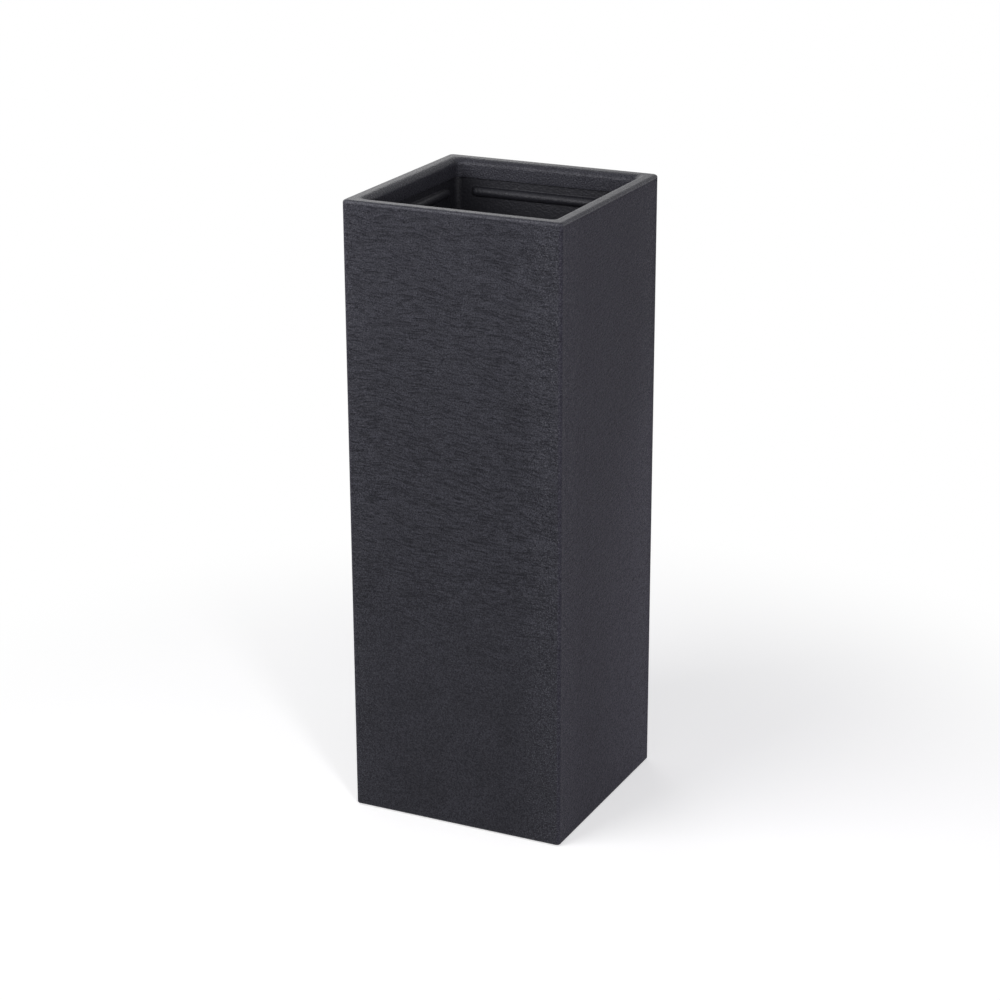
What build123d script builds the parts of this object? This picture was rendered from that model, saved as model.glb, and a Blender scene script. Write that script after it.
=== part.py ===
"""Tall square column planter, moulded in double-walled plastic.

Millimetres, +Z up. The origin is on the floor, at the centre of the footprint. The front face
looks towards -Y. The outer shell ends in a broad rolled rim with a flange turned down inside.
An inner liner stands behind that flange, on a base plate set in the shell's foot. A shelf
that lifts out rests on the liner's ledge, and a plug closes the drain hole in its floor.
"""

import math
import os

from build123d import *

os.makedirs("parts", exist_ok=True)

# Overall
total_height = 800.0
top_width = 290.0
foot_taper = 1.5

# Outer shell
shell_wall = 3.5
upright_round = 4.0
shell_inner_round = 4.0
base_edge_round = 1.5
bead_height = 4.0
bead_reach = 3.0

# Rim, rolled inwards and down
rim_width = 20.0
rim_drop = 25.0
rim_outer_round = 3.5
rim_inner_round = 9.0
flange_edge_round = 1.7
mouth_corner_round = 10.0

# Inner liner: planting chamber above the ledge, empty chamber below it
liner_wall = 3.5
liner_setback = 5.0
liner_drop = 10.0
liner_corner_round = 9.0
ledge_height = 372.0
ledge_width = 12.0
ledge_round = 2.0
planting_draft = 3.5
lower_draft = 1.5
floor_height = 24.0
floor_thickness = 4.0
floor_round = 5.0
lip_thickness = 4.0
lip_clearance = 0.5

# Half-round stiffening rib on each wall of the liner
rib_drop = 42.3
rib_reach = 6.3
rib_embed = 0.5
rib_length = 212.0

# Base plate, with a square opening in its middle
plate_thickness = 4.0
plate_clearance = 0.3
plate_opening_width = 110.0
plate_opening_round = 8.0
plate_rib_thickness = 3.0
plate_rib_height = 9.0

# Screws that hold the liner down on the base plate
screw_spread = 150.0
screw_boss_radius = 6.0
screw_shank_radius = 1.95
screw_clearance = 0.05
screw_length = 13.0
screw_tip_gap = 0.5
screw_head_radius = 4.0
screw_head_height = 2.0
screw_head_clearance = 0.3
screw_head_recess = 2.2
screw_head_round = 0.8
driver_slot_length = 4.8
driver_slot_width = 1.0
driver_slot_depth = 1.2

# Shelf
shelf_clearance = 1.05
shelf_plate = 4.0
shelf_corner_round = 9.0
shelf_edge_height = 12.0
shelf_edge_thickness = 3.0
shelf_edge_round = 1.0
stiffener_depth = 20.0
stiffener_thickness = 3.0
stiffener_clearance = 1.5
hole_pitch = 24.0
holes_per_side = 9
hole_radius = 3.5
cells_per_side = 3
finger_hole_offset = 72.0
finger_hole_length = 62.0
finger_hole_width = 28.0
finger_hole_round = 1.2

# Drain spout of the liner and its plug
drain_radius = 11.0
spout_wall = 3.0
spout_length = 14.0
sump_radius = 24.0
sump_depth = 1.0
plug_clearance = 0.3
plug_stem_length = 17.0
plug_stem_wall = 3.0
plug_lead_in = 1.5
plug_flange_radius = 17.0
plug_flange_thickness = 4.0
plug_flange_round = 1.2
finger_bar_length = 26.0
finger_bar_thickness = 5.0
finger_bar_height = 14.0
finger_bar_round = 2.0
seal_thickness = 2.0
seal_bore_clearance = 0.2

# Foot pads
foot_radius = 15.0
foot_thickness = 5.0
foot_projection = 1.5
foot_inset = 30.0
foot_clearance = 0.1
foot_roof = 3.5
foot_edge_round = 0.8
foot_groove_radii = (10.0, 5.0)
foot_groove_width = 1.2
foot_groove_depth = 0.6

# How near an edge lies to the outline that it belongs to
edge_margin = 1.0

# The planter is square
sides = 4
quarter_turn = 90.0

# Heights and widths that follow
base_width = top_width - foot_taper
underside = foot_projection
plate_top = underside + plate_thickness
floor_low = floor_height - floor_thickness
sump_floor = floor_height - sump_depth
rim_top = total_height
rim_ceiling = rim_top - shell_wall
rim_low = rim_top - rim_drop
liner_top = rim_top - liner_drop
rib_height = rim_top - rib_drop
mouth_width = top_width - 2 * rim_width
shell_low_width = base_width - 2 * shell_wall
shell_high_width = top_width - 2 * shell_wall
planting_top_width = mouth_width + 2 * liner_setback
planting_low_width = planting_top_width - 2 * planting_draft
lower_top_width = planting_low_width - 2 * ledge_width
lower_floor_width = lower_top_width - 2 * lower_draft
foot_recess = foot_thickness - foot_projection
foot_spread = base_width - 2 * foot_inset
head_seat = underside + screw_head_recess
spout_radius = drain_radius + spout_wall
spout_low = floor_low - spout_length


def width_at(height, low, low_width, high, high_width):
    """Width of a straight-sided drafted column at a height between its two ends."""
    return low_width + (high_width - low_width) * (height - low) / (high - low)


def column(low, low_width, high, high_width, corner_round):
    """Square drafted column with rounded upright edges, between two heights."""
    with BuildPart() as drafted:
        with BuildSketch(Plane.XY.offset(low)):
            RectangleRounded(low_width, low_width, corner_round)
        with BuildSketch(Plane.XY.offset(high)):
            RectangleRounded(high_width, high_width, corner_round)
        loft(ruled=True)
    return drafted.part


def square_frame(low, high, outer_width, outer_round, inner_width, inner_round):
    """Upright square frame with rounded corners, between two heights."""
    with BuildPart() as frame:
        with BuildSketch(Plane.XY.offset(low)):
            RectangleRounded(outer_width, outer_width, outer_round)
            RectangleRounded(inner_width, inner_width, inner_round, mode=Mode.SUBTRACT)
        extrude(amount=high - low)
    return frame.part


def square_loop(part, height, width, corner_round):
    """Edges of a part that go round a rounded square of a given width, at one height."""
    corner_reach = width / 2 - corner_round * (1 - math.sqrt(0.5))
    loop = ShapeList()
    for edge in part.edges().filter_by_position(Axis.Z, height, height):
        middle = edge.position_at(0.5)
        reach = max(abs(middle.X), abs(middle.Y))
        expected = width / 2 if edge.geom_type == GeomType.LINE else corner_reach
        if abs(reach - expected) < edge_margin:
            loop.append(edge)
    return loop


# Outer shell: a square tube, open below, with a bead that rests on the base plate
body_column = column(underside, base_width, rim_top, top_width, upright_round)
shell_space = column(
    underside, shell_low_width, rim_ceiling, shell_high_width, shell_inner_round
)
flange_back_width = mouth_width + 2 * shell_wall
flange_back_round = mouth_corner_round + shell_wall
rim_flange = square_frame(
    rim_low, rim_ceiling, flange_back_width, flange_back_round, mouth_width, mouth_corner_round
)
mouth_space = column(rim_low, mouth_width, rim_top, mouth_width, mouth_corner_round)
bead_top = plate_top + bead_height
shell_bead = square_frame(
    plate_top,
    bead_top,
    shell_low_width + shell_wall,
    shell_inner_round,
    shell_low_width - 2 * bead_reach,
    shell_inner_round,
)

with BuildPart() as outer_shell:
    add(body_column)
    fillet(outer_shell.faces().sort_by(Axis.Z)[-1].edges(), radius=rim_outer_round)
    fillet(outer_shell.faces().sort_by(Axis.Z)[0].edges(), radius=base_edge_round)
    add(shell_space, mode=Mode.SUBTRACT)
    add(shell_bead)
    add(rim_flange)
    add(mouth_space, mode=Mode.SUBTRACT)
    fillet(
        square_loop(outer_shell.part, rim_ceiling, flange_back_width, flange_back_round),
        radius=rim_inner_round - shell_wall,
    )
    fillet(
        square_loop(outer_shell.part, rim_top, mouth_width, mouth_corner_round),
        radius=rim_inner_round,
    )
    fillet(
        square_loop(outer_shell.part, rim_low, mouth_width, mouth_corner_round),
        radius=flange_edge_round,
    )
    fillet(
        square_loop(outer_shell.part, rim_low, flange_back_width, flange_back_round),
        radius=flange_edge_round,
    )

outer_shell.part.label = "outer_shell"
export_step(outer_shell.part, "parts/outer_shell.step")


# Inner liner: two drafted chambers, one above the other, with a lip that fills the rolled rim
planting_space = column(
    ledge_height, planting_low_width, liner_top, planting_top_width, liner_corner_round
)
planting_backing = column(
    ledge_height - liner_wall,
    planting_low_width + 2 * liner_wall,
    liner_top,
    planting_top_width + 2 * liner_wall,
    liner_corner_round + liner_wall,
)
lower_space = column(
    floor_height, lower_floor_width, ledge_height, lower_top_width, liner_corner_round
)
lower_backing = column(
    floor_low,
    lower_floor_width + 2 * liner_wall,
    ledge_height,
    lower_top_width + 2 * liner_wall,
    liner_corner_round + liner_wall,
)
lip_width = shell_high_width - 2 * lip_clearance
liner_lip = square_frame(
    liner_top - lip_thickness,
    liner_top,
    lip_width,
    shell_inner_round,
    planting_top_width + liner_wall,
    liner_corner_round,
)
lip_upstand = square_frame(
    liner_top,
    rim_ceiling,
    lip_width,
    shell_inner_round,
    lip_width - 2 * lip_thickness,
    shell_inner_round,
)
rib_wall_width = width_at(
    rib_height, ledge_height, planting_low_width, liner_top, planting_top_width
)
rib_radius = rib_reach + rib_embed

with BuildPart() as wall_rib:
    with BuildSketch():
        SlotOverall(rib_length, 2 * rib_radius, rotation=90)
        Rectangle(
            2 * rib_radius, rib_length, align=(Align.MAX, Align.CENTER), mode=Mode.SUBTRACT
        )
    revolve(axis=Axis.Y, revolution_arc=180)

with BuildPart() as wall_ribs:
    with Locations((0, 0, rib_height)):
        with PolarLocations(rib_wall_width / 2 + rib_embed, sides):
            add(wall_rib.part, rotation=(0, quarter_turn, 0))

with BuildPart() as inner_liner:
    add(planting_backing)
    add(lower_backing)
    add(liner_lip)
    add(lip_upstand)
    add(planting_space, mode=Mode.SUBTRACT)
    add(lower_space, mode=Mode.SUBTRACT)
    fillet(
        square_loop(inner_liner.part, ledge_height, lower_top_width, liner_corner_round),
        radius=ledge_round,
    )
    fillet(
        square_loop(inner_liner.part, floor_height, lower_floor_width, liner_corner_round),
        radius=floor_round,
    )
    add(wall_ribs.part)
    with BuildSketch(Plane.XY.offset(sump_floor)):
        Circle(sump_radius)
    extrude(amount=sump_depth, mode=Mode.SUBTRACT)
    with BuildSketch(Plane.XY.offset(spout_low)):
        Circle(spout_radius)
    extrude(amount=spout_length)
    with BuildSketch(Plane.XY.offset(spout_low)):
        Circle(drain_radius)
    extrude(amount=floor_height - spout_low, mode=Mode.SUBTRACT)
    with BuildSketch(Plane.XY.offset(plate_top)):
        with GridLocations(screw_spread, screw_spread, 2, 2):
            Circle(screw_boss_radius)
    extrude(amount=floor_low - plate_top)
    with BuildSketch(Plane.XY.offset(plate_top)):
        with GridLocations(screw_spread, screw_spread, 2, 2):
            Circle(screw_shank_radius + screw_clearance)
    extrude(amount=head_seat + screw_length + screw_tip_gap - plate_top, mode=Mode.SUBTRACT)

inner_liner.part.label = "inner_liner"
export_step(inner_liner.part, "parts/inner_liner.step")


# Base plate, set in the foot of the shell, with a rib round the opening in its middle
plate_width = shell_low_width - 2 * plate_clearance
opening_rib = square_frame(
    plate_top,
    plate_top + plate_rib_height,
    plate_opening_width + 2 * plate_rib_thickness,
    plate_opening_round + plate_rib_thickness,
    plate_opening_width,
    plate_opening_round,
)

with BuildPart() as base_plate:
    with BuildSketch(Plane.XY.offset(underside)):
        RectangleRounded(plate_width, plate_width, shell_inner_round)
        RectangleRounded(
            plate_opening_width, plate_opening_width, plate_opening_round, mode=Mode.SUBTRACT
        )
    extrude(amount=plate_thickness)
    add(opening_rib)
    with BuildSketch(Plane.XY.offset(underside)):
        with GridLocations(foot_spread, foot_spread, 2, 2):
            Circle(foot_radius + foot_clearance + foot_roof)
    extrude(amount=foot_recess + foot_roof)
    with BuildSketch(Plane.XY.offset(underside)):
        with GridLocations(foot_spread, foot_spread, 2, 2):
            Circle(foot_radius + foot_clearance)
    extrude(amount=foot_recess, mode=Mode.SUBTRACT)
    with BuildSketch(Plane.XY.offset(underside)):
        with GridLocations(screw_spread, screw_spread, 2, 2):
            Circle(screw_shank_radius + screw_head_clearance)
    extrude(amount=plate_thickness, mode=Mode.SUBTRACT)
    with BuildSketch(Plane.XY.offset(underside)):
        with GridLocations(screw_spread, screw_spread, 2, 2):
            Circle(screw_head_radius + screw_head_clearance)
    extrude(amount=screw_head_recess, mode=Mode.SUBTRACT)

base_plate.part.label = "base_plate"
export_step(base_plate.part, "parts/base_plate.step")


# Shelf: perforated plate with a raised edge and a stiffening grid that drops inside the ledge
shelf_width = rib_wall_width - 2 * rib_reach - 2 * shelf_clearance
shelf_top = ledge_height + shelf_plate
stiffener_low = ledge_height - stiffener_depth
stiffener_wall_width = width_at(
    stiffener_low, floor_height, lower_floor_width, ledge_height, lower_top_width
)
grid_width = stiffener_wall_width - 2 * stiffener_clearance
cell_pitch = hole_pitch * holes_per_side / cells_per_side


def in_finger_hole(x, y, margin):
    """Whether a point of the shelf lies in a finger hole, or within a margin of one."""
    across = abs(abs(x) - finger_hole_offset)
    return across <= finger_hole_width / 2 + margin and abs(y) <= finger_hole_length / 2 + margin


def drain_hole_centres():
    """Centres of the shelf's square grid of holes, less those that a finger hole takes."""
    first = -hole_pitch * (holes_per_side - 1) / 2
    places = [first + index * hole_pitch for index in range(holes_per_side)]
    return [(x, y) for x in places for y in places if not in_finger_hole(x, y, hole_radius)]


shelf_edge = square_frame(
    shelf_top,
    shelf_top + shelf_edge_height,
    shelf_width,
    shelf_corner_round,
    shelf_width - 2 * shelf_edge_thickness,
    shelf_corner_round - shelf_edge_thickness,
)
grid_frame = square_frame(
    stiffener_low,
    ledge_height,
    grid_width,
    shelf_corner_round,
    grid_width - 2 * stiffener_thickness,
    shelf_corner_round - stiffener_thickness,
)

with BuildPart() as planting_shelf:
    with BuildSketch(Plane.XY.offset(ledge_height)):
        RectangleRounded(shelf_width, shelf_width, shelf_corner_round)
    extrude(amount=shelf_plate)
    add(shelf_edge)
    fillet(planting_shelf.faces().sort_by(Axis.Z)[-1].edges(), radius=shelf_edge_round)
    add(grid_frame)
    with BuildSketch(Plane.XY.offset(stiffener_low)):
        with GridLocations(cell_pitch, 0, cells_per_side - 1, 1):
            Rectangle(stiffener_thickness, grid_width - stiffener_thickness)
        with GridLocations(0, cell_pitch, 1, cells_per_side - 1):
            Rectangle(grid_width - stiffener_thickness, stiffener_thickness)
    extrude(amount=stiffener_depth)
    with BuildSketch(Plane.XY.offset(ledge_height)):
        with Locations(drain_hole_centres()):
            Circle(hole_radius)
        with GridLocations(2 * finger_hole_offset, 0, 2, 1):
            SlotOverall(finger_hole_length, finger_hole_width, rotation=90)
    extrude(amount=shelf_plate, mode=Mode.SUBTRACT)
    finger_edges = ShapeList()
    for edge in planting_shelf.edges().filter_by_position(Axis.Z, shelf_top, shelf_top):
        middle = edge.position_at(0.5)
        if in_finger_hole(middle.X, middle.Y, edge_margin):
            finger_edges.append(edge)
    fillet(finger_edges, radius=finger_hole_round)

planting_shelf.part.label = "planting_shelf"
export_step(planting_shelf.part, "parts/planting_shelf.step")


# Drain plug: flange on the seal, hollow stem in the drain hole, finger bar on top
seal_top = sump_floor + seal_thickness
flange_top = seal_top + plug_flange_thickness
stem_radius = drain_radius - plug_clearance
stem_low = seal_top - plug_stem_length

with BuildPart() as drain_plug:
    with BuildSketch(Plane.XY.offset(seal_top)):
        Circle(plug_flange_radius)
    extrude(amount=plug_flange_thickness)
    fillet(drain_plug.faces().sort_by(Axis.Z)[-1].edges(), radius=plug_flange_round)
    with BuildSketch(Plane.XY.offset(stem_low)):
        Circle(stem_radius)
    extrude(amount=plug_stem_length)
    chamfer(drain_plug.faces().sort_by(Axis.Z)[0].edges(), length=plug_lead_in)
    with BuildSketch(Plane.XY.offset(stem_low)):
        Circle(stem_radius - plug_stem_wall)
    extrude(amount=plug_stem_length, mode=Mode.SUBTRACT)
    with BuildSketch(Plane.XY.offset(flange_top)):
        Rectangle(finger_bar_length, finger_bar_thickness)
    extrude(amount=finger_bar_height)
    fillet(drain_plug.faces().sort_by(Axis.Z)[-1].edges(), radius=finger_bar_round)

drain_plug.part.label = "drain_plug"
export_step(drain_plug.part, "parts/drain_plug.step")


with BuildPart() as plug_seal:
    with BuildSketch(Plane.XY.offset(sump_floor)):
        Circle(plug_flange_radius)
        Circle(stem_radius + seal_bore_clearance, mode=Mode.SUBTRACT)
    extrude(amount=seal_thickness)

plug_seal.part.label = "plug_seal"
export_step(plug_seal.part, "parts/plug_seal.step")


# Foot pads and screws, one of each at every corner of the base plate
corners = {
    "front_left": (-1, -1),
    "front_right": (1, -1),
    "back_left": (-1, 1),
    "back_right": (1, 1),
}

for corner, (side_x, side_y) in corners.items():
    foot_centre = (side_x * foot_spread / 2, side_y * foot_spread / 2)
    with BuildPart() as foot:
        with BuildSketch():
            with Locations(foot_centre):
                Circle(foot_radius)
        extrude(amount=foot_thickness)
        fillet(foot.faces().sort_by(Axis.Z)[0].edges(), radius=foot_edge_round)
        with BuildSketch():
            with Locations(foot_centre):
                for groove_radius in foot_groove_radii:
                    Circle(groove_radius + foot_groove_width / 2)
                    Circle(groove_radius - foot_groove_width / 2, mode=Mode.SUBTRACT)
        extrude(amount=foot_groove_depth, mode=Mode.SUBTRACT)
    foot.part.label = f"foot_{corner}"
    export_step(foot.part, f"parts/foot_{corner}.step")

    screw_centre = (side_x * screw_spread / 2, side_y * screw_spread / 2)
    head_low = head_seat - screw_head_height
    with BuildPart() as screw:
        with BuildSketch(Plane.XY.offset(head_low)):
            with Locations(screw_centre):
                Circle(screw_head_radius)
        extrude(amount=screw_head_height)
        fillet(screw.faces().sort_by(Axis.Z)[0].edges(), radius=screw_head_round)
        with BuildSketch(Plane.XY.offset(head_seat)):
            with Locations(screw_centre):
                Circle(screw_shank_radius)
        extrude(amount=screw_length)
        with BuildSketch(Plane.XY.offset(head_low)):
            with Locations(screw_centre):
                Rectangle(driver_slot_length, driver_slot_width)
                Rectangle(driver_slot_width, driver_slot_length)
        extrude(amount=driver_slot_depth, mode=Mode.SUBTRACT)
    screw.part.label = f"base_screw_{corner}"
    export_step(screw.part, f"parts/base_screw_{corner}.step")
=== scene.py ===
"""Studio scene of a tall square planter, moulded in dark slate grey plastic.

The planter stands on the floor at the origin, +Z up, with its front face towards -Y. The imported
solids are the fixed frame. The outer shell, its rolled rim, the liner and the liner's ribs are
drawn here as finer surfaces over those solids, and the remaining solids keep their own meshes and
get moulded, rubber or plated finishes.

Sizes in the classes below are millimetres, and meshes are written in metres.
"""

import logging
import math
from dataclasses import dataclass, field
from enum import Enum

import bpy
import numpy as np
from mathutils import Matrix, Vector


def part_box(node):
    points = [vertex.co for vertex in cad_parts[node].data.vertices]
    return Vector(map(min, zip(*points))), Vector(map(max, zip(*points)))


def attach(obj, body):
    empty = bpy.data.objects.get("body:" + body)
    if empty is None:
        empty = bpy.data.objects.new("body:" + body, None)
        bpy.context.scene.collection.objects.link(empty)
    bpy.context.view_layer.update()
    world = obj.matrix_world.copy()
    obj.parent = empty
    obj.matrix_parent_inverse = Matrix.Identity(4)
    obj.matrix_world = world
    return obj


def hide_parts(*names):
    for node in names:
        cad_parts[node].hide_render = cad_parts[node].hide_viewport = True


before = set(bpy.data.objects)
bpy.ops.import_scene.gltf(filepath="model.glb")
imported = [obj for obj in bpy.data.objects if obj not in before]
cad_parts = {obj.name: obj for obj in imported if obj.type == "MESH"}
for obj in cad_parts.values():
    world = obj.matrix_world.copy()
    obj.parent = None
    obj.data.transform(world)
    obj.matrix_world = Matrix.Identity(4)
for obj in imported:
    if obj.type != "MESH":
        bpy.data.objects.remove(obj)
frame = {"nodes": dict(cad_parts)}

LOG = logging.getLogger("planter")
MM = 0.001
BODY = "planter_body"

Colour = tuple[float, float, float, float]
Pair = tuple[float, float]
Triple = tuple[float, float, float]
Socket = bpy.types.NodeSocket
WHITE: Colour = (1.0, 1.0, 1.0, 1.0)


def grey(level: float, blue: float | None = None) -> Colour:
    """A grey, whose blue can differ."""
    return (level, level, level if blue is None else blue, 1.0)


class Side(Enum):
    """The four faces of the column, by the quarter turns that lead to each from +X."""

    RIGHT = 0
    BACK = 1
    LEFT = 2
    FRONT = 3

    def turned(self, n: np.ndarray, t: np.ndarray) -> tuple[np.ndarray, np.ndarray]:
        """X and Y of points on the side.

        Args:
            n: distances outward from the axis.
            t: distances onward, anticlockwise, from the side's middle.

        Returns:
            X and Y.
        """
        turn = self.value * math.pi / 2
        cos, sin = round(math.cos(turn)), round(math.sin(turn))
        return n * cos - t * sin, n * sin + t * cos


# Numbers and meshes


def smooth(x: np.ndarray) -> np.ndarray:
    """Smooth step of x, held between 0 and 1: 3x^2 - 2x^3.

    Args:
        x: values of any shape.

    Returns:
        Values of the same shape, between 0 and 1.
    """
    t = np.clip(x, 0.0, 1.0)
    return t * t * (3.0 - 2.0 * t)


def lattice_noise(along: np.ndarray, up: np.ndarray, cell: Pair, seed: int) -> np.ndarray:
    """Smooth random field: random heights on lattice points, eased in between.

    In lattice steps (u, v) the field is the bilinear blend of the four heights round a point,
    with the weights 6t^5 - 15t^4 + 10t^3 of the fractions of u and v. The lattice repeats every
    512 steps.

    Args:
        along: distance along a face.
        up: distance up it.
        cell: size of a lattice step in each direction.
        seed: which random lattice.

    Returns:
        Heights between -1 and 1, in the shape of both distances together.
    """
    u, v = along / cell[0], up / cell[1]
    size = 512
    heights = np.random.default_rng(seed).uniform(-1.0, 1.0, (size, size))
    iu, iv = np.floor(u).astype(int), np.floor(v).astype(int)
    fu, fv = u - iu, v - iv
    fu = fu**3 * (fu * (6.0 * fu - 15.0) + 10.0)
    fv = fv**3 * (fv * (6.0 * fv - 15.0) + 10.0)
    u0, u1, v0, v1 = iu % size, (iu + 1) % size, iv % size, (iv + 1) % size
    low = heights[u0, v0] * (1 - fu) + heights[u1, v0] * fu
    high = heights[u0, v1] * (1 - fu) + heights[u1, v1] * fu
    return low * (1 - fv) + high * fv


def grid_faces(rows: int, columns: int, closed: bool) -> np.ndarray:
    """Quads of a grid of points stored row after row.

    A quad goes (r, c), (r, c + 1), (r + 1, c + 1), (r + 1, c).

    Args:
        rows: rows of points.
        columns: points in a row.
        closed: whether the last column joins the first.

    Returns:
        Whole-number array of shape (quads, 4).
    """
    wide = columns if closed else columns - 1
    r, c = np.meshgrid(np.arange(rows - 1), np.arange(wide), indexing="ij")
    after = (c + 1) % columns
    a, b = r * columns + c, r * columns + after
    return np.stack([a, b, b + columns, a + columns], axis=-1).reshape(-1, 4)


def build_mesh(name: str, points: np.ndarray, quads: np.ndarray) -> bpy.types.Object:
    """A smooth-shaded object at the origin from points in millimetres and quads.

    Args:
        name: object and mesh name.
        points: array of shape (points, 3).
        quads: array of shape (quads, 4), outward side anticlockwise.

    Returns:
        The new object, linked to the scene.
    """
    mesh = bpy.data.meshes.new(name)
    mesh.vertices.add(len(points))
    mesh.vertices.foreach_set("co", (points * MM).astype(np.float32).ravel())
    mesh.loops.add(quads.size)
    mesh.loops.foreach_set("vertex_index", quads.astype(np.int32).ravel())
    mesh.polygons.add(len(quads))
    mesh.polygons.foreach_set("loop_start", np.arange(0, quads.size, 4, dtype=np.int32))
    mesh.polygons.foreach_set("loop_total", np.full(len(quads), 4, dtype=np.int32))
    mesh.polygons.foreach_set("use_smooth", np.ones(len(quads), dtype=bool))
    mesh.update(calc_edges=True)
    mesh.validate()
    piece = bpy.data.objects.new(name, mesh)
    bpy.context.scene.collection.objects.link(piece)
    return piece


def arc(centre: Pair, radius: float, start: float, end: float, steps: int) -> np.ndarray:
    """Points (width, height) on an arc, angles in degrees from the outward direction.

    A point is centre + radius (cos a, sin a), a going evenly from start to end.

    Args:
        centre: half width and height of the arc's centre.
        radius: radius of the arc.
        start: first angle.
        end: last angle.
        steps: points on the arc.

    Returns:
        Array of shape (steps, 2).
    """
    a = np.radians(np.linspace(start, end, steps))
    return np.stack([centre[0] + radius * np.cos(a), centre[1] + radius * np.sin(a)], axis=1)


def line(start: Pair, end: Pair, steps: int) -> np.ndarray:
    """Evenly spaced points (width, height) after start and before end.

    Args:
        start: point that the line leaves, left out.
        end: point that it reaches, left out.
        steps: points between.

    Returns:
        Array of shape (steps, 2).
    """
    t = np.linspace(0.0, 1.0, steps + 2)[1:-1, None]
    return (1 - t) * np.array(start) + t * np.array(end)


@dataclass(frozen=True)
class SquareLoop:
    """Columns of points round a rounded square, the same for every size of square.

    A point on side k is n (h - r) + n r on the flat, and its corner arc is the centre
    (n + t)(h - r) plus r (n cos a + t sin a), where h is half the width, r the corner radius, and
    n and t the side's outward and onward directions.
    """

    flat_steps: int
    arc_steps: int

    def points(self, half: np.ndarray, corner: np.ndarray) -> tuple[np.ndarray, np.ndarray]:
        """X and Y of every point, for several squares at once.

        Args:
            half: half widths, one for each row.
            corner: corner radii, one for each row.

        Returns:
            Two arrays of shape (rows, columns), round all four sides from +X anticlockwise.
        """
        s = np.linspace(-1.0, 1.0, self.flat_steps)
        a = np.linspace(0.0, np.pi / 2, self.arc_steps + 2)[1:-1]
        along_n, full = np.ones(len(s) + len(a)), np.ones(len(a))
        along_t = np.concatenate([s, full])
        round_n = np.concatenate([0 * s + 1, np.cos(a)])
        round_t = np.concatenate([0 * s, np.sin(a)])
        straight, radius = (half - corner)[:, None], corner[:, None]
        n = straight * along_n + radius * round_n
        t = straight * along_t + radius * round_t
        xs, ys = zip(*(side.turned(n, t) for side in Side), strict=True)
        return np.concatenate(xs, axis=1), np.concatenate(ys, axis=1)


def swept_square(
    name: str, section: np.ndarray, corner: np.ndarray, roundness: np.ndarray, loop: SquareLoop
) -> bpy.types.Object:
    """A section carried round a rounded square, or round a circle where the section turns to one.

    Each section point (half width, height) becomes one loop of points. The outward side is on
    the left of the section's path as it is seen with the axis on its left.

    Args:
        name: name of the piece.
        section: array (rows, 2) of half widths and heights.
        corner: corner radius of each row's loop.
        roundness: 0 for each square row and 1 for each circle.
        loop: how each loop's points are spread.

    Returns:
        The new object.
    """
    half = section[:, 0]
    x, y = loop.points(half, np.minimum(corner, half))
    angle = np.arctan2(y[0], x[0])
    blend = roundness[:, None]
    x = x * (1 - blend) + half[:, None] * np.cos(angle) * blend
    y = y * (1 - blend) + half[:, None] * np.sin(angle) * blend
    points = np.stack([x, y, np.broadcast_to(section[:, 1:], x.shape)], axis=-1)
    return build_mesh(name, points.reshape(-1, 3), grid_faces(len(section), x.shape[1], closed=True))


# Shader helpers


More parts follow.
